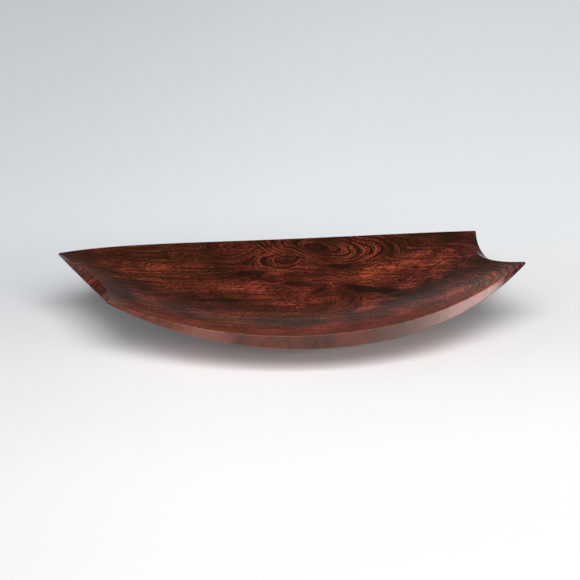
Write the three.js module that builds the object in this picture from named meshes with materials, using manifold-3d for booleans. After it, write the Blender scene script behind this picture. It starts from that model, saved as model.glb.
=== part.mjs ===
// Carved wooden dish with four upswept horns.
//
// One plank, hollowed to a shallow trough. Two long sides bow outwards and the
// two short ends are bitten in, so each corner runs out to a pointed horn. Half
// a turn about the vertical axis brings the dish back onto itself: two corners
// opposite each other are high horns, the other two are low horns. The wall
// ends in a crisp cut facet all the way round, wide at the sides and closing to
// a blunt edge at each horn, and the underside is planed flat where it rests.
//
// Millimetres, +Z up, X along the dish. The origin is on the resting surface,
// under the middle.

import * as THREE from 'three';
import { NURBSCurve } from 'three/addons/curves/NURBSCurve.js';
import { mergeVertices } from 'three/addons/utils/BufferGeometryUtils.js';
import Module from 'manifold-3d';

// Horns: half lengths, half spread across an end, heights above the table
const HIGH_HORN_REACH = 260;
const LOW_HORN_REACH = 229;
const HORN_SPREAD = 65;
const HIGH_HORN_HEIGHT = 88;
const LOW_HORN_HEIGHT = 77.5;

// Long side, from a low horn to a high horn: how far the three guide points of
// its upper edge stand out from the centre line, and their heights
const SIDE_BOW = [161, 154.5, 176];
const SIDE_HEIGHT = [45.5, 43.5, 53];

// Short end, from a high horn to a low horn: the two guide points of its upper
// edge, along the dish and in height
const END_REACH = [221, 208.5];
const END_HEIGHT = [72, 65];

// Cut facet of the wall: how far its lower edge stands out from the upper edge
// and drops below it, at the guide points of a side and of an end
const SIDE_FACET_OUT = [7, 6, 10];
const SIDE_FACET_DROP = [15.5, 13, 23];
const END_FACET_OUT = [13, 14.5];
const END_FACET_DROP = [10.5, 3];

// Blunt edge left at the point of each horn
const HORN_TIP_OUT = 1;
const HORN_TIP_DROP = 2.4;

// Wood left under the middle of the hollow, and the depth planed off the belly
// to give the flat that the dish rests on
const FLOOR_THICKNESS = 11;
const FOOT_PLANED_OFF = 8;

// How full the curves are: 2 is a parabola, less is straighter to the edge
const HOLLOW_FULLNESS_ALONG = 2;
const HOLLOW_FULLNESS_ACROSS = 1.9;
const BELLY_FULLNESS_ALONG = 2;
const BELLY_FULLNESS_ACROSS = 1.5;

// Facets of the surface grid
const STEPS_ALONG = 52;
const STEPS_ACROSS = 26;

// A smooth curve pulled towards its guide points and ending on the first and last
function guidedCurve(points) {
  const degree = points.length - 1;
  const knots = [...points.map(() => 0), ...points.map(() => 1)];
  const weighted = points.map((p) => new THREE.Vector4(p.x, p.y, p.z, 1));
  return new NURBSCurve(degree, knots, weighted);
}

// The same place after half a turn about the vertical axis
function halfTurn(point) {
  return new THREE.Vector3(-point.x, -point.y, point.z);
}

// Guide points of the front side, at even steps from the low horn to the high horn
function sideGuides(lowHorn, highHorn, bows, heights) {
  const inner = bows.map((bow, i) => {
    const x = THREE.MathUtils.lerp(lowHorn.x, highHorn.x, (i + 1) / (bows.length + 1));
    return new THREE.Vector3(x, -bow, heights[i]);
  });
  return [lowHorn, ...inner, highHorn];
}

// Guide points of the right end, at even steps from the high horn to the low horn
function endGuides(highHorn, lowHorn, reaches, heights) {
  const inner = reaches.map((reach, i) => {
    const y = THREE.MathUtils.lerp(highHorn.y, lowHorn.y, (i + 1) / (reaches.length + 1));
    return new THREE.Vector3(reach, y, heights[i]);
  });
  return [highHorn, ...inner, lowHorn];
}

// Four edges of the dish at one level of the wall. Each takes 0 to 1, along or across.
function rim(highHorn, lowHorn, side, end) {
  const frontLeft = halfTurn(lowHorn);
  const front = guidedCurve(sideGuides(frontLeft, highHorn, side.bow, side.height));
  const right = guidedCurve(endGuides(highHorn, lowHorn, end.reach, end.height));
  return {
    front: (u) => front.getPoint(u),
    back: (u) => halfTurn(front.getPoint(1 - u)),
    right: (v) => right.getPoint(v),
    left: (v) => halfTurn(right.getPoint(1 - v)),
  };
}

// Surface stretched over the four edges of a rim
function stretched(edges, u, v) {
  const alongSides = edges.front(u).lerp(edges.back(u), v);
  const acrossEnds = edges.left(v).lerp(edges.right(v), u);
  const nearCorners = edges.front(0).lerp(edges.front(1), u);
  const farCorners = edges.back(0).lerp(edges.back(1), u);
  return alongSides.add(acrossEnds).sub(nearCorners.lerp(farCorners, v));
}

// 1 in the middle of the dish, 0 all round its edge
function sag(u, v, fullnessAlong, fullnessAcross) {
  const along = 1 - Math.abs(2 * u - 1) ** fullnessAlong;
  const across = 1 - Math.abs(2 * v - 1) ** fullnessAcross;
  return along * across;
}

const highTop = new THREE.Vector3(HIGH_HORN_REACH, -HORN_SPREAD, HIGH_HORN_HEIGHT);
const lowTop = new THREE.Vector3(LOW_HORN_REACH, HORN_SPREAD, LOW_HORN_HEIGHT);
const upperRim = rim(
  highTop,
  lowTop,
  { bow: SIDE_BOW, height: SIDE_HEIGHT },
  { reach: END_REACH, height: END_HEIGHT },
);

const highUnder = highTop.clone().add(new THREE.Vector3(HORN_TIP_OUT, -HORN_TIP_OUT, -HORN_TIP_DROP));
const lowUnder = lowTop.clone().add(new THREE.Vector3(HORN_TIP_OUT, HORN_TIP_OUT, -HORN_TIP_DROP));
const lowerRim = rim(
  highUnder,
  lowUnder,
  {
    bow: SIDE_BOW.map((bow, i) => bow + SIDE_FACET_OUT[i]),
    height: SIDE_HEIGHT.map((height, i) => height - SIDE_FACET_DROP[i]),
  },
  {
    reach: END_REACH.map((reach, i) => reach + END_FACET_OUT[i]),
    height: END_HEIGHT.map((height, i) => height - END_FACET_DROP[i]),
  },
);

const hollowDepth = stretched(upperRim, 0.5, 0.5).z - FLOOR_THICKNESS;
const bellyDepth = stretched(lowerRim, 0.5, 0.5).z + FOOT_PLANED_OFF;

// Carved inside of the dish
function hollowPoint(u, v) {
  const point = stretched(upperRim, u, v);
  point.z -= hollowDepth * sag(u, v, HOLLOW_FULLNESS_ALONG, HOLLOW_FULLNESS_ACROSS);
  return point;
}

// Outside below the wall facet, before the foot is planed
function bellyPoint(u, v) {
  const point = stretched(lowerRim, u, v);
  point.z -= bellyDepth * sag(u, v, BELLY_FULLNESS_ALONG, BELLY_FULLNESS_ACROSS);
  return point;
}

// Two grids, hollow above and belly below, closed round the edge by the wall facet
function dishShell() {
  const positions = [];
  const indices = [];
  const row = STEPS_ALONG + 1;
  const sheet = row * (STEPS_ACROSS + 1);
  const hollow = (i, j) => j * row + i;
  const belly = (i, j) => sheet + hollow(i, j);

  for (const surface of [hollowPoint, bellyPoint]) {
    for (let j = 0; j <= STEPS_ACROSS; j += 1) {
      for (let i = 0; i <= STEPS_ALONG; i += 1) {
        positions.push(...surface(i / STEPS_ALONG, j / STEPS_ACROSS).toArray());
      }
    }
  }

  const quad = (a, b, c, d) => indices.push(a, b, c, a, c, d);
  for (let j = 0; j < STEPS_ACROSS; j += 1) {
    for (let i = 0; i < STEPS_ALONG; i += 1) {
      quad(hollow(i, j), hollow(i + 1, j), hollow(i + 1, j + 1), hollow(i, j + 1));
      quad(belly(i, j), belly(i, j + 1), belly(i + 1, j + 1), belly(i + 1, j));
    }
  }
  for (let i = 0; i < STEPS_ALONG; i += 1) {
    quad(belly(i, 0), belly(i + 1, 0), hollow(i + 1, 0), hollow(i, 0));
    const far = STEPS_ACROSS;
    quad(belly(i + 1, far), belly(i, far), hollow(i, far), hollow(i + 1, far));
  }
  for (let j = 0; j < STEPS_ACROSS; j += 1) {
    const last = STEPS_ALONG;
    quad(belly(last, j), belly(last, j + 1), hollow(last, j + 1), hollow(last, j));
    quad(belly(0, j + 1), belly(0, j), hollow(0, j), hollow(0, j + 1));
  }

  const geometry = new THREE.BufferGeometry();
  geometry.setAttribute('position', new THREE.Float32BufferAttribute(positions, 3));
  geometry.setIndex(indices);
  return geometry;
}

// Block below the table top that planes the belly flat
function planedBlock() {
  const length = 2 * HIGH_HORN_REACH;
  const width = 4 * HORN_SPREAD;
  const block = new THREE.BoxGeometry(length, width, 2 * FOOT_PLANED_OFF);
  return block.translate(0, 0, -FOOT_PLANED_OFF);
}

const manifold = await Module();
manifold.setup();

function toSolid(geometry) {
  const bare = geometry.clone();
  bare.deleteAttribute('normal');
  bare.deleteAttribute('uv');
  const merged = mergeVertices(bare);
  const mesh = new manifold.Mesh({
    numProp: 3,
    vertProperties: new Float32Array(merged.attributes.position.array),
    triVerts: new Uint32Array(merged.index.array),
  });
  return new manifold.Manifold(mesh);
}

function toGeometry(solid) {
  const mesh = solid.getMesh();
  const geometry = new THREE.BufferGeometry();
  geometry.setAttribute('position', new THREE.BufferAttribute(mesh.vertProperties, 3));
  geometry.setIndex(new THREE.BufferAttribute(mesh.triVerts, 1));
  geometry.computeVertexNormals();
  return geometry;
}

// Dark red-brown figured hardwood under a satin wiped finish
function figuredHardwood() {
  return new THREE.MeshStandardMaterial({ color: 0x5a2a20, roughness: 0.38, metalness: 0 });
}

function makeDish() {
  const solid = toSolid(dishShell()).subtract(toSolid(planedBlock()));
  const dish = new THREE.Mesh(toGeometry(solid), figuredHardwood());
  dish.name = 'dish';
  return dish;
}

const woodenDish = new THREE.Group();
woodenDish.add(makeDish());

export default woodenDish;
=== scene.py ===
"""A carved wooden dish with four upswept horns, on a pale studio floor.

Metres, +Z up, X along the dish. The origin is on the floor, under the middle of the dish.
"""

import math
from functools import partial
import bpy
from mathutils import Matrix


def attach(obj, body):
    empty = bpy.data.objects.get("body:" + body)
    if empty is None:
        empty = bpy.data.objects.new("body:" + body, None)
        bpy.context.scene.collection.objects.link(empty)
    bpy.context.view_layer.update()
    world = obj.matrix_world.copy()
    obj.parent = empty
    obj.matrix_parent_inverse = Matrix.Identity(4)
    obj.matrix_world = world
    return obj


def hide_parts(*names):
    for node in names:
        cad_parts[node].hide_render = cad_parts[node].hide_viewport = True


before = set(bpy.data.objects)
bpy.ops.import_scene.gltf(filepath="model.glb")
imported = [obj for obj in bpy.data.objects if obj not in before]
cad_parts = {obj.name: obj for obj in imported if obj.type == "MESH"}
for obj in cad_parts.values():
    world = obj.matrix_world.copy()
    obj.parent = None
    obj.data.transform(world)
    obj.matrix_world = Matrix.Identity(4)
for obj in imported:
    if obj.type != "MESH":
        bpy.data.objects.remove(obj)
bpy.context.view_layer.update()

from types import SimpleNamespace

import bpy
from mathutils import Matrix, Vector


# Camera
# A long lens from a little above the table and slightly to the left, so that the near
# side, the bitten right end and both left horns all show.
MM = 0.001
CAMERA_ELEVATION = math.radians(22)
CAMERA_TURN = math.radians(11.2)
CAMERA_LENS_MM = 1200
CAMERA_SENSOR_MM = 36
CAMERA_DISTANCE = 22.23
CAMERA_NEAREST = 1
CAMERA_FARTHEST = 100
# The middle of the picture looks at a point a little left of the dish's axis at rim height,
# and a little below it, as the camera sees it
AIM_HEIGHT = 51 * MM
AIM_LEFT = 2.1 * MM
AIM_DOWN = 3.5 * MM

level_share = math.cos(CAMERA_ELEVATION)
camera_right = Vector((math.cos(CAMERA_TURN), -math.sin(CAMERA_TURN), 0))
camera_back = Vector((
    -math.sin(CAMERA_TURN) * level_share,
    -math.cos(CAMERA_TURN) * level_share,
    math.sin(CAMERA_ELEVATION),
))
camera_up = camera_back.cross(camera_right)
aim = Vector((0, 0, AIM_HEIGHT)) - camera_right * AIM_LEFT - camera_up * AIM_DOWN

camera_data = bpy.data.cameras.new("camera")
camera_data.lens = CAMERA_LENS_MM
camera_data.sensor_width = CAMERA_SENSOR_MM
camera_data.clip_start = CAMERA_NEAREST
camera_data.clip_end = CAMERA_FARTHEST
camera = bpy.data.objects.new("camera", camera_data)
camera.matrix_world = Matrix.Translation(aim + camera_back * CAMERA_DISTANCE) @ Matrix(
    (camera_right, camera_up, camera_back)
).transposed().to_4x4()
bpy.context.scene.collection.objects.link(camera)
bpy.context.scene.camera = camera


# Dish, its shape
# One plank hollowed to a shallow trough, with two long bowed sides and two bitten ends that
# meet in four horns. Half a turn brings it back onto itself. Hollow and belly are stretched
# over their edge and let down in the middle, and the cut facet of the wall joins them.
HIGH_HORN = Vector((260, -65, 88)) * MM
LOW_HORN = Vector((229, 65, 77.5)) * MM
SIDE_BOW = (161, 154.5, 176)
SIDE_HEIGHT = (45.5, 43.5, 53)
END_REACH = (221, 208.5)
END_HEIGHT = (72, 65)
SIDE_FACET_OUT = (7, 6, 10)
SIDE_FACET_DROP = (15.5, 13, 23)
END_FACET_OUT = (13, 14.5)
END_FACET_DROP = (10.5, 3)
HORN_TIP_OUT = 1 * MM
HORN_TIP_DROP = 2.4 * MM
FLOOR_THICKNESS = 11 * MM
FOOT_PLANED_OFF = 8 * MM
FOOT_EDGE_SOFTNESS = 1.5 * MM
ARRIS_ROUNDING = 0.7 * MM
ARRIS_STEPS = 3
SHARP_ANGLE = math.radians(60)
CELLS_ALONG = 280
CELLS_ACROSS = 130
CELLS_DOWN_FACET = 4


def between(start, end, count):
    """Even places strictly between two numbers."""
    return [start + (end - start) * (i + 1) / (count + 1) for i in range(count)]


def side_guides(low_horn, high_horn, bows, heights):
    """Guide points of the front side, from the low horn on its left to the high horn."""
    places = between(-low_horn.x, high_horn.x, len(bows))
    return [Vector((x, -bow * MM, z * MM)) for x, bow, z in zip(places, bows, heights)]


def end_guides(low_horn, high_horn, reaches, heights):
    """Guide points of the right end, from the high horn to the low horn."""
    places = between(high_horn.y, low_horn.y, len(reaches))
    return [Vector((reach * MM, y, z * MM)) for reach, y, z in zip(reaches, places, heights)]


def rim(low_horn, high_horn, side, end):
    """Named guide points of one edge of the dish: the upper or the lower edge of the wall."""
    points = {"low horn": low_horn, "high horn": high_horn}
    for i, point in enumerate(side_guides(low_horn, high_horn, *side), 1):
        points[f"side guide {i}"] = point
    for i, point in enumerate(end_guides(low_horn, high_horn, *end), 1):
        points[f"end guide {i}"] = point
    return points


def shifted(numbers, shifts, sign):
    """Each number moved by its own shift, up or down."""
    return [number + sign * shift for number, shift in zip(numbers, shifts)]


upper_rim = rim(LOW_HORN, HIGH_HORN, (SIDE_BOW, SIDE_HEIGHT), (END_REACH, END_HEIGHT))
lower_rim = rim(
    LOW_HORN + Vector((HORN_TIP_OUT, HORN_TIP_OUT, -HORN_TIP_DROP)),
    HIGH_HORN + Vector((HORN_TIP_OUT, -HORN_TIP_OUT, -HORN_TIP_DROP)),
    (shifted(SIDE_BOW, SIDE_FACET_OUT, 1), shifted(SIDE_HEIGHT, SIDE_FACET_DROP, -1)),
    (shifted(END_REACH, END_FACET_OUT, 1), shifted(END_HEIGHT, END_FACET_DROP, -1)),
)


def place(tree, kind, sockets=(), **settings):
    """Adds a node, sets its options, and gives its inputs a value or another node's output."""
    node = tree.nodes.new(kind)
    for name, value in settings.items():
        setattr(node, name, value)
    for name, value in dict(sockets).items():
        if isinstance(value, bpy.types.NodeSocket):
            tree.links.new(value, node.inputs[name])
        else:
            node.inputs[name].default_value = value
    return node


def number(tree, operation, *values):
    """One Math node on the given numbers or outputs."""
    return place(tree, "ShaderNodeMath", enumerate(values), operation=operation).outputs[0]


def vector(tree, operation, *values):
    """One Vector Math node on the given vectors or outputs."""
    return place(tree, "ShaderNodeVectorMath", enumerate(values), operation=operation).outputs[0]


def part_way(tree, start, end, share):
    """The point that lies a share of the way from start to end."""
    sockets = {"Factor": share}
    node = place(tree, "ShaderNodeMix", sockets, data_type="VECTOR", clamp_factor=False)
    tree.links.new(start, node.inputs[4])
    tree.links.new(end, node.inputs[5])
    return node.outputs[1]


def guided_curve(tree, points, share):
    """Smooth curve pulled towards its guide points, by repeated steps part way between them."""
    while len(points) > 1:
        points = [part_way(tree, a, b, share) for a, b in zip(points, points[1:])]
    return points[0]


def stretched_sheet(rim_points):
    """Node group: the point of a sheet stretched over the four edges of a rim."""
    tree = bpy.data.node_groups.new("stretched_sheet", "GeometryNodeTree")
    for name in ("along", "across"):
        tree.interface.new_socket(name, in_out="INPUT", socket_type="NodeSocketFloat")
    for name in rim_points:
        tree.interface.new_socket(name, in_out="INPUT", socket_type="NodeSocketVector")
    tree.interface.new_socket("point", in_out="OUTPUT", socket_type="NodeSocketVector")
    given = place(tree, "NodeGroupInput").outputs

    def turned(point):
        return vector(tree, "MULTIPLY", point, (-1, -1, 1))

    along, across = given["along"], given["across"]
    low, high = given["low horn"], given["high horn"]
    side = [given[name] for name in rim_points if name.startswith("side")]
    end = [given[name] for name in rim_points if name.startswith("end")]
    low_left, high_left = turned(low), turned(high)
    front = guided_curve(tree, [low_left, *side, high], along)
    back = guided_curve(tree, [high_left, *[turned(p) for p in reversed(side)], low], along)
    right = guided_curve(tree, [high, *end, low], across)
    left = guided_curve(tree, [low_left, *[turned(p) for p in reversed(end)], high_left], across)
    sides = part_way(tree, front, back, across)
    bites = part_way(tree, left, right, along)
    near = part_way(tree, low_left, high, along)
    far = part_way(tree, high_left, low, along)
    corners = part_way(tree, near, far, across)
    point = vector(tree, "SUBTRACT", vector(tree, "ADD", sides, bites), corners)
    place(tree, "NodeGroupOutput", {"point": point})
    return tree


def middle_height(points):
    """Height of a stretched sheet over the middle of the dish."""
    def halfway(guides):
        while len(guides) > 1:
            guides = [(a + b) / 2 for a, b in zip(guides, guides[1:])]
        return guides[0].z

    low, high = points["low horn"], points["high horn"]
    side = halfway([low] + [points[name] for name in points if name.startswith("side")] + [high])
    end = halfway([high] + [points[name] for name in points if name.startswith("end")] + [low])
    return side + end - (low.z + high.z) / 2


DISH_SIZES = {
    "hollow depth": middle_height(upper_rim) - FLOOR_THICKNESS,
    "hollow fullness along": 2,
    "hollow fullness across": 1.9,
    "belly depth": middle_height(lower_rim) + FOOT_PLANED_OFF,
    "belly fullness along": 2,
    "belly fullness across": 1.5,
    "foot edge softness": FOOT_EDGE_SOFTNESS,
}
DISH_CELLS = {
    "cells along": CELLS_ALONG,
    "cells across": CELLS_ACROSS,
    "cells down facet": CELLS_DOWN_FACET,
}


def carved_dish(material):
    """Geometry Nodes tree: a block of cells whose six faces are carried onto the dish."""
    tree = bpy.data.node_groups.new("carved_dish", "GeometryNodeTree")
    tree.is_modifier = True
    tree.interface.new_socket("Geometry", in_out="OUTPUT", socket_type="NodeSocketGeometry")
    tree.interface.new_socket("Geometry", in_out="INPUT", socket_type="NodeSocketGeometry")
    for level_name, points in (("upper", upper_rim), ("lower", lower_rim)):
        for name in points:
            tree.interface.new_socket(
                f"{level_name} {name}", in_out="INPUT", socket_type="NodeSocketVector"
            )
    for name in DISH_SIZES:
        tree.interface.new_socket(name, in_out="INPUT", socket_type="NodeSocketFloat")
    for name in DISH_CELLS:
        tree.interface.new_socket(name, in_out="INPUT", socket_type="NodeSocketInt")
    sizes = place(tree, "NodeGroupInput").outputs

    block = place(tree, "GeometryNodeMeshCube", {
        "Size": (1, 1, 1),
        "Vertices X": number(tree, "ADD", sizes["cells along"], 1),
        "Vertices Y": number(tree, "ADD", sizes["cells across"], 1),
        "Vertices Z": number(tree, "ADD", sizes["cells down facet"], 1),
    })
    edge_angle = place(tree, "GeometryNodeInputMeshEdgeAngle").outputs["Unsigned Angle"]
    marked = place(tree, "GeometryNodeStoreNamedAttribute", {
        "Geometry": block.outputs["Mesh"],
        "Name": "bevel_weight_edge",
        "Value": number(tree, "GREATER_THAN", edge_angle, SHARP_ANGLE),
    }, data_type="FLOAT", domain="EDGE")

    centred_spot = place(tree, "GeometryNodeInputPosition").outputs[0]
    spot = vector(tree, "ADD", centred_spot, (0.5, 0.5, 0.5))
    along, across, up_wall = place(tree, "ShaderNodeSeparateXYZ", {0: spot}).outputs
    sheet = stretched_sheet(upper_rim)

    def let_down(level_name, surface):
        """A sheet over one rim, let down in the middle by the depth of its surface."""
        group = place(tree, "GeometryNodeGroup", node_tree=sheet)
        tree.links.new(along, group.inputs["along"])
        tree.links.new(across, group.inputs["across"])
        for name in upper_rim:
            tree.links.new(sizes[f"{level_name} {name}"], group.inputs[name])
        depth = sizes[f"{surface} depth"]
        for share, way in ((along, "along"), (across, "across")):
            from_middle = number(tree, "ABSOLUTE", number(tree, "MULTIPLY_ADD", share, 2, -1))
            fallen = number(tree, "POWER", from_middle, sizes[f"{surface} fullness {way}"])
            depth = number(tree, "MULTIPLY", depth, number(tree, "SUBTRACT", 1, fallen))
        drop = place(tree, "ShaderNodeCombineXYZ", {"Z": depth}).outputs[0]
        return vector(tree, "SUBTRACT", group.outputs["point"], drop)

    hollow = let_down("upper", "hollow")
    belly = place(tree, "ShaderNodeSeparateXYZ", {0: let_down("lower", "belly")}).outputs
    planed = number(tree, "SMOOTH_MAX", belly[2], 0, sizes["foot edge softness"])
    belly = place(tree, "ShaderNodeCombineXYZ", {"X": belly[0], "Y": belly[1], "Z": planed})
    carved = place(tree, "GeometryNodeSetPosition", {
        "Geometry": marked.outputs["Geometry"],
        "Position": part_way(tree, belly.outputs[0], hollow, up_wall),
    })
    smooth = place(tree, "GeometryNodeSetShadeSmooth", {0: carved.outputs["Geometry"]})
    real = place(tree, "GeometryNodeRealizeInstances", {0: smooth.outputs[0]})
    finished = place(tree, "GeometryNodeSetMaterial", {
        "Geometry": real.outputs[0],
        "Material": material,
    })
    place(tree, "NodeGroupOutput", {"Geometry": finished.outputs[0]})
    return tree


# Dish, its wood
# Dark red-brown rosewood-like timber, much figured. Growth layers cut by the hollow show
# as dark lines that run along the dish and close into eyes, with fine streaks and pores
# beside them, under a satin wiped finish.

# Every place below is in millimetres along and across the dish, with the long and the
# cross radius and the turn of the long way in degrees.
# Gentle rises and dips that bend the growth lines, and how many millimetres each is
SWELLS = (
    (-30, 99, 30, 7, 2, -10),
    (15, -24, 40, 16, -8, 16),
)
# Eyes of the figure, each as nested rings, whose two radii only say how drawn out they are.
# After the turn: how far the rings reach, their spacing along the long way, where they start
# to show, how dark they are, and 1 where they are arcs that open to the left
FIGURE_EYES = (
    (54, 128, 3.4, 1, -24, 106, 13, 0, 1, 0),
    (14, 117, 2.6, 1, -4, 35, 13, 0, 1, 0),
    (-32, 141, 4, 1, -4, 34, 10, 0, 0.8, 0),
    (-90, 122, 3, 1, 0, 22, 9, 0, 0.6, 0),
    (36, 42, 2, 1, -30, 66, 4.4, 30, 0.55, 1),
    (180, -58, 1.2, 1, -38, 38, 7.5, 8, 0.9, 1),
    (21, 78, 2.4, 1, -12, 18, 6, 0, 0.5, 0),
)
# Dark pools in the colour, and how dark each is
DARK_POOLS = (
    (54, 128, 15, 6, -28, 0.7),
    (14, 117, 9, 3, 0, 0.7),
    (-28, 101, 22, 5, 2, 1.0),
    (24, 76, 20, 5, -16, 0.9),
    (75, 92, 13, 4, -22, 0.8),
    (42, 58, 12, 4, 20, 0.8),
    (90, 44, 24, 6, -42, 0.9),
    (122, 12, 26, 8, -52, 0.9),
    (15, -20, 24, 12, 0, 0.6),
    (-90, 48, 34, 9, 5, 0.5),
    (-120, 20, 50, 14, 25, 0.35),
    (75, -30, 40, 14, -42, 0.45),
    (205, 95, 40, 14, -30, 0.5),
    (-200, 10, 14, 30, 0, 0.5),
)
# Brighter orange-red clouds, and how bright each is. Two of them are painted light, as marked
# below.
RED_CLOUDS_AND_PAINTED_LIGHT = (
    (45, 38, 18, 7, 0, 0.7),
    (86, -4, 16, 6, 0, 0.8),
    (182, -57, 12, 10, 0, 0.8),
    (-5, 132, 22, 8, 0, 0.4),
    (140, 52, 60, 24, -22, 0.6),
    (190, 28, 50, 24, -10, 0.5),
    (-195, 72, 30, 9, 10, 0.35),
    (-145, 92, 30, 8, 10, 0.35),
    (0, 100, 30, 5, 0, 0.4),
    # Painted highlight: lifts and reddens the wood colour on the right of the near facet, where
    # the right softbox's highlight lies
    (180, -128, 70, 16, 36, 0.9),
    # Painted light: lifts the near part of the hollow, which slopes away from the front softbox
    # and gets less of its light
    (0, -90, 300, 60, 0, 1.25),
    (-60, -14, 170, 50, 4, 0.35),
    (-20, 66, 170, 22, 0, 0.45),
    (-140, -50, 60, 30, 30, 0.4),
    (158, 12, 44, 18, -20, 0.4),
)
# How much of a hill's height is left where its patch starts and where it is full
POOL_EDGE = (0.35, 0.7)
CLOUD_EDGE = (0.3, 0.8)
# Patch where the grain turns and shows as short dark dashes across the growth lines
DASHED_PATCH = (170, 14, 56, 36, -20)
DASH_TURN = 17
DASH_SIZE = (16, 3.2, 16)
# Cross-grain mottling of the cut facet
MOTTLE_TURN = 20
MOTTLE_SIZE = (13, 60, 30)

# The growth lines are arcs round a far centre, longer along the dish than across it. Growth
# rises by these shares of a millimetre for each millimetre outwards and upwards.
GROWTH_CENTRE = (-20, -190)
GROWTH_FLATNESS = 1.15
GROWTH_OUTWARDS = 0.7
GROWTH_UPWARDS = 0.25
LAYER_THICKNESS = 9
# How far slow and quick waves push the figure along, across and up, and quick ones a patch
SLOW_WAVE_PUSH = (20, 12, 10)
QUICK_WAVE_PUSH = (3, 1.8, 2)
PATCH_PUSH = (9, 5, 0)
# Millimetres of growth over which rings join the arcs and come into sight. The open side of
# an eye fades out between shares of its reach, and rings fade in between shares of the place
# where they start to show.
RING_JOIN = 6
RING_FADE = 10
OPEN_FROM = -0.2
OPEN_TO = 0.4
OPEN_LIFT = 60
INNER_FROM = 0.6
INNER_TO = 1.4

# Upright share of the normal up to which a face counts as the steep facet, and from which
# as level. The facet has a plainer figure, a little brighter, with almost no grain.
STEEP = 0.45
LEVEL = 0.7
FACET_LAYERS = 0.4
FACET_CONTRAST = 0.55
FACET_LIFT = 0.12
FACET_GRAIN = 0.1

# Ring lines: how far they wander in millimetres of growth, their width as a share of a
# layer, and the shares of that width between which they fade away
LINE_WANDER = 5
THINNEST_LINE = 0.24
THICKEST_LINE = 0.46
LINE_EDGE = (0.6, 1)
# Fine lines: how many there are in a millimetre of growth, how far they wander, counted in
# lines, how clear the faintest are, and how much of them counts as no change of tone
FINE_LINES_PER_GROWTH = 0.55
FINE_LINE_WOBBLE = 2.2
FAINTEST_FINE_LINE = 0.3
MEAN_FINE_LINE = 0.4
# Dashes: how far they wander, counted in rows, the edge of a dash, and the faintest one
DASH_WOBBLE = 2.5
DASH_EDGE = (0.3, 0.7)
FAINTEST_DASH = 0.4
# Noise at which something starts to show and shows in full
LINES_WIDEN = (0.3, 0.7)
FINE_LINES_SHOW = (0.35, 0.6)
DASHES_SHOW = (0.35, 0.5)
VESSELS_SHOW = (0.53, 0.64)
MOTTLE_SHOWS = (0.5, 0.68)
CRIMSON_SHOWS = (0.42, 0.62)
PORES_SHOW = (0.6, 0.72)

# Tone of plain wood, and what each feature adds to it or takes from it
PLAIN_TONE = 0.35
CLOUDY_TONE = 0.9
RINGED_TONE = 0.04
PATCH_TONE = 0.4
STREAK_TONE = 1.7
FINE_LINE_TONE = 0.7
SPECKLE_TONE = 2.0
RING_LINE_TONE = -0.65
VESSEL_TONE = -0.22
DASH_TONE = -0.6
MOTTLE_TONE = -0.2
# Share of the grain that shows in dark and in bright wood
GRAIN_IN_DARK = 0.35
GRAIN_IN_BRIGHT = 1.5
# Colours of the wood from dark to bright, looked up by the tone times this scale
TONE_SCALE = 0.7
WOOD_COLOURS = (
    (0, (0.016, 0.0046, 0.002, 1)),
    (0.25, (0.05, 0.0118, 0.0045, 1)),
    (0.46, (0.11, 0.0218, 0.0098, 1)),
    (0.7, (0.24, 0.042, 0.0175, 1)),
    (1, (0.42, 0.085, 0.038, 1)),
)
CRIMSON_CAST = (1, 0.88, 1.15, 1)
# The finish is glossier on the facet: upright share of the normal over which that changes
GLOSS_CHANGES = (0.5, 0.75)
FACET_ROUGHNESS = 0.17
HOLLOW_ROUGHNESS = 0.24
FINISH_IOR = 1.5
PORE_DEPTH = 0.1 * MM
PORE_STRENGTH = 0.05


def fade(tree, value, low, high, to_low=0, to_high=1):
    """Smooth way from one value to another while an output goes from low to high."""
    return place(tree, "ShaderNodeMapRange", {
        "Value": value, "From Min": low, "From Max": high, "To Min": to_low, "To Max": to_high,
    }, interpolation_type="SMOOTHSTEP").outputs[0]


def noise(tree, where, scale=1, detail=2, roughness=0.5, output="Fac"):
    """Noise that changes about this many times in a unit of its coordinates."""
    return place(tree, "ShaderNodeTexNoise", {
        "Vector": where, "Scale": scale, "Detail": detail, "Roughness": roughness,
    }).outputs[output]


def blend(tree, share, start, end, blend_type="MIX"):
    """One colour giving way to another, or multiplied by it, by a share that changes."""
    return place(tree, "ShaderNodeMix", {
        0: share, 6: start, 7: end,
    }, data_type="RGBA", blend_type=blend_type).outputs[2]


def split(tree, where):
    """The x, y and z outputs of a vector."""
    return place(tree, "ShaderNodeSeparateXYZ", {0: where}).outputs


def dot(tree, first, second):
    """How far one vector goes along another."""
    sockets = {0: first, 1: second}
    return place(tree, "ShaderNodeVectorMath", sockets, operation="DOT_PRODUCT").outputs["Value"]


def length(tree, where):
    """Distance of a place from the middle of its coordinates."""
    return place(tree, "ShaderNodeVectorMath", {0: where}, operation="LENGTH").outputs["Value"]


def measured_from(tree, where, x, y, turn, size):
    """Coordinates counted from a place, along a turned direction, in steps of a size."""
    return place(tree, "ShaderNodeMapping", {
        "Vector": where,
        "Location": (x, y, 0),
        "Rotation": (0, 0, math.radians(turn)),
        "Scale": size,
    }, vector_type="TEXTURE").outputs[0]


def hill(tree, where, x, y, long_radius, cross_radius, turn):
    """1 at the middle of an oval, falling away gently past its edge."""
    oval = measured_from(tree, where, x, y, turn, (long_radius, cross_radius, 1))
    return number(tree, "DIVIDE", 1, number(tree, "ADD", dot(tree, oval, oval), 1))


def waves(tree, value):
    """1 at each whole number and 0 halfway between two of them."""
    cycle = number(tree, "FRACT", value)
    return number(tree, "ABSOLUTE", number(tree, "MULTIPLY_ADD", cycle, 2, -1))


def centred(tree, value):
    """Noise shifted so that it is 0 on the whole."""
    return number(tree, "SUBTRACT", value, 0.5)


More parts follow.
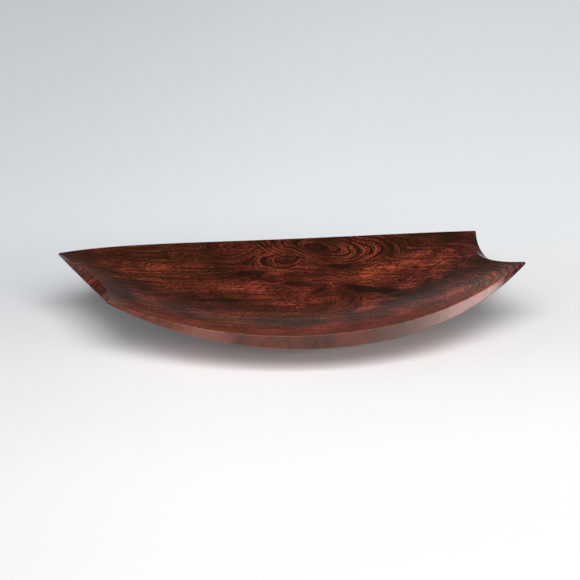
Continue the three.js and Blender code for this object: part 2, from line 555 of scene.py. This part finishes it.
def wood_places(tree):
    """Places on the wood in millimetres, plain and pushed about by waves, and its slope."""
    surface = place(tree, "ShaderNodeTexCoord").outputs
    in_mm = vector(tree, "MULTIPLY", surface["Object"], (1 / MM, 1 / MM, 1 / MM))
    middle = (0.5, 0.5, 0.5)
    slow = vector(tree, "SUBTRACT", noise(tree, in_mm, scale=0.022, output="Color"), middle)
    quick = noise(tree, in_mm, scale=0.11, detail=3, roughness=0.6, output="Color")
    quick = vector(tree, "SUBTRACT", quick, middle)
    bent = vector(tree, "MULTIPLY_ADD", slow, SLOW_WAVE_PUSH, in_mm)
    bent = vector(tree, "MULTIPLY_ADD", quick, QUICK_WAVE_PUSH, bent)
    patches = vector(tree, "MULTIPLY", in_mm, (1, 1, 0))
    return SimpleNamespace(
        in_mm=in_mm,
        bent=bent,
        flat=vector(tree, "MULTIPLY", bent, (1, 1, 0)),
        patches=vector(tree, "MULTIPLY_ADD", quick, PATCH_PUSH, patches),
        levelness=number(tree, "ABSOLUTE", split(tree, surface["Normal"])[2]),
    )


def growth_arcs(tree, wood):
    """Growth at each place before the eyes: arcs round a far centre, bent by the swells."""
    opened = measured_from(tree, wood.flat, *GROWTH_CENTRE, 0, (GROWTH_FLATNESS, 1, 1))
    upwards = number(tree, "MULTIPLY", split(tree, wood.in_mm)[2], GROWTH_UPWARDS)
    arcs = number(tree, "MULTIPLY_ADD", length(tree, opened), GROWTH_OUTWARDS, upwards)
    for *oval, rise in SWELLS:
        arcs = number(tree, "MULTIPLY_ADD", hill(tree, wood.flat, *oval), rise, arcs)
    return arcs


def add_growth(tree, wood):
    """Sets the wood's growth, with the eyes joined into the arcs, and where rings show."""
    calc = partial(number, tree)
    arcs = growth_arcs(tree, wood)
    wood.growth = arcs
    wood.ringed = 0
    for x, y, long_way, cross_way, turn, reach, spacing, inner, darkness, opens in FIGURE_EYES:
        rate = LAYER_THICKNESS / spacing
        from_centre = math.hypot((x - GROWTH_CENTRE[0]) / GROWTH_FLATNESS, y - GROWTH_CENTRE[1])
        lowest = GROWTH_OUTWARDS * from_centre - reach * rate
        # Half a layer up, so that a dark line lies in the middle of the eye
        start = (math.floor(lowest / LAYER_THICKNESS) + 0.5) * LAYER_THICKNESS
        oval = measured_from(tree, wood.flat, x, y, turn, (1, cross_way / long_way, 1))
        from_eye = length(tree, oval)
        cone = calc("MULTIPLY_ADD", from_eye, rate, start)
        if opens:
            along_eye = split(tree, oval)[0]
            lift = fade(tree, along_eye, OPEN_FROM * reach, OPEN_TO * reach, OPEN_LIFT, 0)
            cone = calc("ADD", cone, lift)
        inside = fade(tree, calc("SUBTRACT", arcs, cone), 0, RING_FADE, 0, darkness)
        if inner:
            shown = fade(tree, from_eye, INNER_FROM * inner, INNER_TO * inner)
            inside = calc("MULTIPLY", inside, shown)
        wood.ringed = calc("MAXIMUM", wood.ringed, inside)
        wood.growth = calc("SMOOTH_MIN", wood.growth, cone, RING_JOIN)


def drawn_noise(tree, wood, thick, long, detail=2, roughness=0.5):
    """Noise drawn out along the growth lines, about this thick and long in millimetres."""
    across = number(tree, "DIVIDE", wood.growth, thick)
    layered = place(tree, "ShaderNodeCombineXYZ", {"X": across}).outputs[0]
    drawn_out = vector(tree, "DIVIDE", wood.in_mm, (long, long, long))
    where = vector(tree, "ADD", layered, drawn_out)
    return noise(tree, where, detail=detail, roughness=roughness)


def by_slope(tree, wood, on_facet, on_level):
    """One value on the steep facet and another on level faces."""
    return fade(tree, wood.levelness, STEEP, LEVEL, on_facet, on_level)


def ring_lines(tree, wood):
    """Dark lines between growth layers, rough edged and of uneven width, in the eyes only."""
    calc = partial(number, tree)
    wander = centred(tree, drawn_noise(tree, wood, thick=3, long=14))
    wandering = calc("ADD", wood.growth, calc("MULTIPLY", wander, LINE_WANDER))
    from_line = waves(tree, calc("DIVIDE", wandering, LAYER_THICKNESS))
    width = noise(tree, wood.in_mm, scale=0.05)
    width = fade(tree, width, *LINES_WIDEN, THINNEST_LINE, THICKEST_LINE)
    beside = fade(tree, calc("DIVIDE", from_line, width), *LINE_EDGE)
    return calc("MULTIPLY", calc("SUBTRACT", 1, beside), wood.ringed)


def body_tone(tree, wood):
    """Slowly changing tone: layers, clouds, and the listed patches."""
    calc = partial(number, tree)
    layers = centred(tree, drawn_noise(tree, wood, thick=3, long=40, detail=3, roughness=0.6))
    tone = calc("MULTIPLY_ADD", layers, by_slope(tree, wood, FACET_LAYERS, 1), PLAIN_TONE)
    clouds = centred(tree, noise(tree, wood.in_mm, scale=0.035, detail=1))
    tone = calc("MULTIPLY_ADD", clouds, CLOUDY_TONE, tone)
    tone = calc("MULTIPLY_ADD", wood.ringed, RINGED_TONE, tone)
    # Among these clouds are painted light: a lift on the near side of the hollow and a painted
    # highlight on the near facet
    for *oval, strength in RED_CLOUDS_AND_PAINTED_LIGHT:
        near = fade(tree, hill(tree, wood.patches, *oval), *CLOUD_EDGE)
        tone = calc("MULTIPLY_ADD", near, PATCH_TONE * strength, tone)
    for *oval, strength in DARK_POOLS:
        near = fade(tree, hill(tree, wood.patches, *oval), *POOL_EDGE)
        tone = calc("MULTIPLY_ADD", near, -PATCH_TONE * strength, tone)
    evened = calc("MULTIPLY", tone, by_slope(tree, wood, FACET_CONTRAST, 1))
    return calc("ADD", evened, by_slope(tree, wood, FACET_LIFT, 0))


def fine_grain(tree, wood):
    """Streaks, fine growth lines and specks, about 0 on the whole."""
    calc = partial(number, tree)
    streaks = centred(tree, drawn_noise(tree, wood, thick=1.2, long=18, roughness=0.6))
    wobble = drawn_noise(tree, wood, thick=2, long=10, detail=1)
    wobble = calc("MULTIPLY", wobble, FINE_LINE_WOBBLE)
    lines = waves(tree, calc("MULTIPLY_ADD", wood.growth, FINE_LINES_PER_GROWTH, wobble))
    clearness = noise(tree, wood.in_mm, scale=0.07)
    clearness = fade(tree, clearness, *FINE_LINES_SHOW, FAINTEST_FINE_LINE, 1)
    lines = calc("MULTIPLY", lines, clearness)
    specks = centred(tree, noise(tree, wood.bent, scale=0.8, detail=1))
    grain = calc("MULTIPLY", streaks, STREAK_TONE)
    grain = calc("MULTIPLY_ADD", calc("SUBTRACT", MEAN_FINE_LINE, lines), FINE_LINE_TONE, grain)
    return calc("MULTIPLY_ADD", specks, SPECKLE_TONE, grain)


def dashes(tree, wood):
    """Short dark dashes side by side in the patch where the grain turns."""
    calc = partial(number, tree)
    turned = measured_from(tree, wood.bent, 0, 0, DASH_TURN, DASH_SIZE)
    wobble = noise(tree, turned, detail=1)
    rows = waves(tree, calc("MULTIPLY_ADD", wobble, DASH_WOBBLE, split(tree, turned)[1]))
    dark = fade(tree, rows, *DASH_EDGE, 1, 0)
    dark = calc("MULTIPLY", dark, fade(tree, wobble, *DASHES_SHOW, FAINTEST_DASH, 1))
    in_patch = fade(tree, hill(tree, wood.flat, *DASHED_PATCH), *POOL_EDGE)
    return calc("MULTIPLY", dark, in_patch)


def wood_tone(tree, wood):
    """Everything that makes the wood darker or brighter, from about 0 to 1."""
    calc = partial(number, tree)
    body = body_tone(tree, wood)
    off_facet = by_slope(tree, wood, FACET_GRAIN, 1)
    grain = calc("MULTIPLY", fine_grain(tree, wood), off_facet)
    grain_here = fade(tree, body, 0, 1, GRAIN_IN_DARK, GRAIN_IN_BRIGHT)
    tone = calc("MULTIPLY_ADD", grain, grain_here, body)
    tone = calc("MULTIPLY_ADD", ring_lines(tree, wood), RING_LINE_TONE, tone)
    vessels = drawn_noise(tree, wood, thick=0.9, long=8, detail=1, roughness=0.6)
    vessels = calc("MULTIPLY", fade(tree, vessels, *VESSELS_SHOW), off_facet)
    tone = calc("MULTIPLY_ADD", vessels, VESSEL_TONE, tone)
    tone = calc("MULTIPLY_ADD", dashes(tree, wood), DASH_TONE, tone)
    slanting = measured_from(tree, wood.in_mm, 0, 0, MOTTLE_TURN, MOTTLE_SIZE)
    mottle = fade(tree, noise(tree, slanting, roughness=0.6), *MOTTLE_SHOWS)
    return calc("MULTIPLY_ADD", mottle, by_slope(tree, wood, MOTTLE_TONE, 0), tone)


def figured_wood():
    """Figured hardwood under a satin wiped finish."""
    material = bpy.data.materials.new("figured_hardwood")
    material.use_nodes = True
    tree = material.node_tree
    tree.nodes.clear()
    wood = wood_places(tree)
    add_growth(tree, wood)

    scaled = number(tree, "MULTIPLY", wood_tone(tree, wood), TONE_SCALE)
    colours = place(tree, "ShaderNodeValToRGB", {"Fac": scaled})
    ramp = colours.color_ramp
    for element, (position, colour) in zip(ramp.elements, (WOOD_COLOURS[0], WOOD_COLOURS[-1])):
        element.position = position
        element.color = colour
    for position, colour in WOOD_COLOURS[1:-1]:
        ramp.elements.new(position).color = colour
    cast = fade(tree, noise(tree, wood.in_mm, scale=0.016), *CRIMSON_SHOWS)
    hued = blend(tree, cast, colours.outputs[0], CRIMSON_CAST, "MULTIPLY")

    pores = fade(tree, drawn_noise(tree, wood, thick=0.6, long=4, detail=1), *PORES_SHOW)
    roughness = fade(tree, wood.levelness, *GLOSS_CHANGES, FACET_ROUGHNESS, HOLLOW_ROUGHNESS)
    bump = place(tree, "ShaderNodeBump", {
        "Height": pores, "Strength": PORE_STRENGTH, "Distance": PORE_DEPTH,
    }, invert=True)
    shader = place(tree, "ShaderNodeBsdfPrincipled", {
        "Base Color": hued,
        "Roughness": roughness,
        "IOR": FINISH_IOR,
        "Normal": bump.outputs[0],
    })
    place(tree, "ShaderNodeOutputMaterial", {"Surface": shader.outputs[0]})
    return material


dish_data = bpy.data.meshes.new("carved_dish")
dish = bpy.data.objects.new("carved_dish", dish_data)
bpy.context.scene.collection.objects.link(dish)
shape = dish.modifiers.new("shape", "NODES")
shape.node_group = carved_dish(figured_wood())
dish_values = {
    **{f"upper {name}": point for name, point in upper_rim.items()},
    **{f"lower {name}": point for name, point in lower_rim.items()},
    **DISH_SIZES,
    **DISH_CELLS,
}
for item in shape.node_group.interface.items_tree:
    if item.in_out == "INPUT" and item.name in dish_values:
        value = dish_values[item.name]
        shape[item.identifier] = value if item.socket_type != "NodeSocketFloat" else float(value)

arris = dish.modifiers.new("arris", "BEVEL")
arris.limit_method = "WEIGHT"
arris.width = ARRIS_ROUNDING
arris.segments = ARRIS_STEPS
arris.use_clamp_overlap = True
arris.harden_normals = True

evaluated = dish.evaluated_get(bpy.context.evaluated_depsgraph_get())
finished_mesh = bpy.data.meshes.new_from_object(evaluated)
dish.modifiers.clear()
dish.data = finished_mesh
finished_mesh.attributes.remove(finished_mesh.attributes["bevel_weight_edge"])
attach(dish, "root")
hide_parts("dish")


# Floor
# A wide sheet of pale matt paper. It renders almost white round the dish and towards the
# camera, and falls off to a cool grey behind and to the left.
FLOOR_HALF_SIZE = 12
# Places where one shade gives way to the next, from in front of the dish to behind it. The
# front gets the most light, so its paper is darker and stays just under white.
DIMMEST_FRONT = -0.8
DIMMED_FROM = -0.3
COOLER_FROM = 0
COOLEST_BACK = 0.5
FRONT_PAPER = (0.765, 0.765, 0.765, 1)
MIDDLE_PAPER = (0.848, 0.85, 0.85, 1)
BACK_PAPER = (0.855, 0.885, 0.915, 1)
# Shade on the left, which starts further left the nearer it is to the camera
LEFT_SHADE = (0.85, 0.86, 0.87, 1)
LEFT_SHADE_SLANT = 0.4
LEFT_SHADE_FULL = 0.6

floor_data = bpy.data.meshes.new("floor")
corner_signs = ((-1, -1), (1, -1), (1, 1), (-1, 1))
corners = [(x * FLOOR_HALF_SIZE, y * FLOOR_HALF_SIZE, 0) for x, y in corner_signs]
floor_data.from_pydata(corners, [], [(0, 1, 2, 3)])
floor = bpy.data.objects.new("floor", floor_data)
bpy.context.scene.collection.objects.link(floor)


def pale_paper():
    """Matt paper that can be seen through from below."""
    material = bpy.data.materials.new("pale_paper")
    material.use_nodes = True
    tree = material.node_tree
    tree.nodes.clear()
    spot = split(tree, place(tree, "ShaderNodeTexCoord").outputs["Object"])
    in_front = fade(tree, spot[1], DIMMED_FROM, DIMMEST_FRONT)
    behind = fade(tree, spot[1], COOLER_FROM, COOLEST_BACK)
    slant = number(tree, "MULTIPLY", spot[1], LEFT_SHADE_SLANT)
    on_left = fade(tree, number(tree, "SUBTRACT", slant, spot[0]), 0, LEFT_SHADE_FULL)
    colour = blend(tree, in_front, MIDDLE_PAPER, FRONT_PAPER)
    colour = blend(tree, behind, colour, BACK_PAPER)
    colour = blend(tree, on_left, colour, LEFT_SHADE, "MULTIPLY")
    paper = place(tree, "ShaderNodeBsdfDiffuse", {"Color": colour})
    open_below = place(tree, "ShaderNodeBsdfTransparent")
    side = place(tree, "ShaderNodeMixShader", {
        0: place(tree, "ShaderNodeNewGeometry").outputs["Backfacing"],
        1: paper.outputs[0],
        2: open_below.outputs[0],
    })
    place(tree, "ShaderNodeOutputMaterial", {"Surface": side.outputs[0]})
    return material


floor_data.materials.append(pale_paper())


# Lights
# A broad softbox high in front lights the hollow. A long low one in front on the right is
# mirrored by the near facet as a highlight. The rest comes from a pale room.
SOFTBOX_AIM = (0, 0, 0.03)
FRONT_SOFTBOX_PLACE = (-0.35, -3.35, 3.52)
FRONT_SOFTBOX_SIZE = (3.9, 2.4)
FRONT_SOFTBOX_POWER = 262
RIGHT_SOFTBOX_PLACE = (1.79, -2.29, 0.84)
RIGHT_SOFTBOX_SIZE = (3.4, 0.36)
RIGHT_SOFTBOX_POWER = 33


def softbox(name, stands_at, size, power):
    """Rectangular lamp turned towards the dish."""
    data = bpy.data.lights.new(name, "AREA")
    data.shape = "RECTANGLE"
    data.size, data.size_y = size
    data.energy = power
    light = bpy.data.objects.new(name, data)
    light.location = stands_at
    towards_dish = Vector(SOFTBOX_AIM) - Vector(stands_at)
    light.rotation_euler = towards_dish.to_track_quat("-Z", "Y").to_euler()
    bpy.context.scene.collection.objects.link(light)


softbox("front_softbox", FRONT_SOFTBOX_PLACE, FRONT_SOFTBOX_SIZE, FRONT_SOFTBOX_POWER)
softbox("right_softbox", RIGHT_SOFTBOX_PLACE, RIGHT_SOFTBOX_SIZE, RIGHT_SOFTBOX_POWER)

# Soft round patches of light in the room, placed by degrees right of the back and above
# the floor, then the degrees to which each is full and at which it ends, and its strength
ROOM_GLOWS = (
    (-85, 5, 20, 60, 0.6),    # left wall
    (-156, 24, 2, 8, 1.2),    # mirrored by the left of the near facet
    (145, 22, 6, 18, 0.8),    # mirrored by the right of the near facet
    (5, 9, 4, 25, 0.24),      # backdrop, mirrored by the hollow
)
ROOM_STRENGTH = 0.04
# Bright front wall: the turn to the left at which it stands, the shares of a direction along
# that way at which its light starts and is full, and the upward shares where it fades out
FRONT_WALL_TURN = math.radians(-22)
FRONT_WALL_EDGE = (-0.25, 0.15)
FRONT_WALL_TOP = (0.3, 0.5)
FRONT_WALL_STRENGTH = 1.35
ROOM_TINT_LEFT = (0.93, 1, 1.05, 1)
ROOM_TINT_RIGHT = (0.97, 1, 0.92, 1)
ROOM_TINT_REACH = 0.6


def room_glow(tree, way, azimuth, elevation, full_within, gone_by, strength):
    """Soft round patch of light, by the direction in which the room is looked at."""
    azimuth, elevation = math.radians(azimuth), math.radians(elevation)
    level_share = math.cos(elevation)
    centre = (
        math.sin(azimuth) * level_share,
        math.cos(azimuth) * level_share,
        math.sin(elevation),
    )
    gone = math.cos(math.radians(gone_by))
    full = math.cos(math.radians(full_within))
    return fade(tree, dot(tree, way, centre), gone, full, 0, strength)


def pale_room():
    """Room light: a bright front wall low down, and the glows, over a dim even light."""
    world = bpy.data.worlds.new("pale_room")
    world.use_nodes = True
    tree = world.node_tree
    way = place(tree, "ShaderNodeTexCoord").outputs["Generated"]
    sideways, _, upwards = split(tree, way)
    low = fade(tree, upwards, *FRONT_WALL_TOP, 1, 0)
    front = (math.sin(FRONT_WALL_TURN), -math.cos(FRONT_WALL_TURN), 0)
    ahead = fade(tree, dot(tree, way, front), *FRONT_WALL_EDGE, 0, FRONT_WALL_STRENGTH)
    strength = number(tree, "MULTIPLY_ADD", low, ahead, ROOM_STRENGTH)
    for glow in ROOM_GLOWS:
        strength = number(tree, "ADD", strength, room_glow(tree, way, *glow))
    to_right = place(tree, "ShaderNodeMapRange", {
        "Value": sideways, "From Min": -ROOM_TINT_REACH, "From Max": ROOM_TINT_REACH,
    }).outputs[0]
    tint = blend(tree, to_right, ROOM_TINT_LEFT, ROOM_TINT_RIGHT)
    background = tree.nodes["Background"].inputs
    tree.links.new(strength, background["Strength"])
    tree.links.new(tint, background["Color"])
    return world


bpy.context.scene.world = pale_room()
bpy.context.scene.view_settings.view_transform = "Standard"
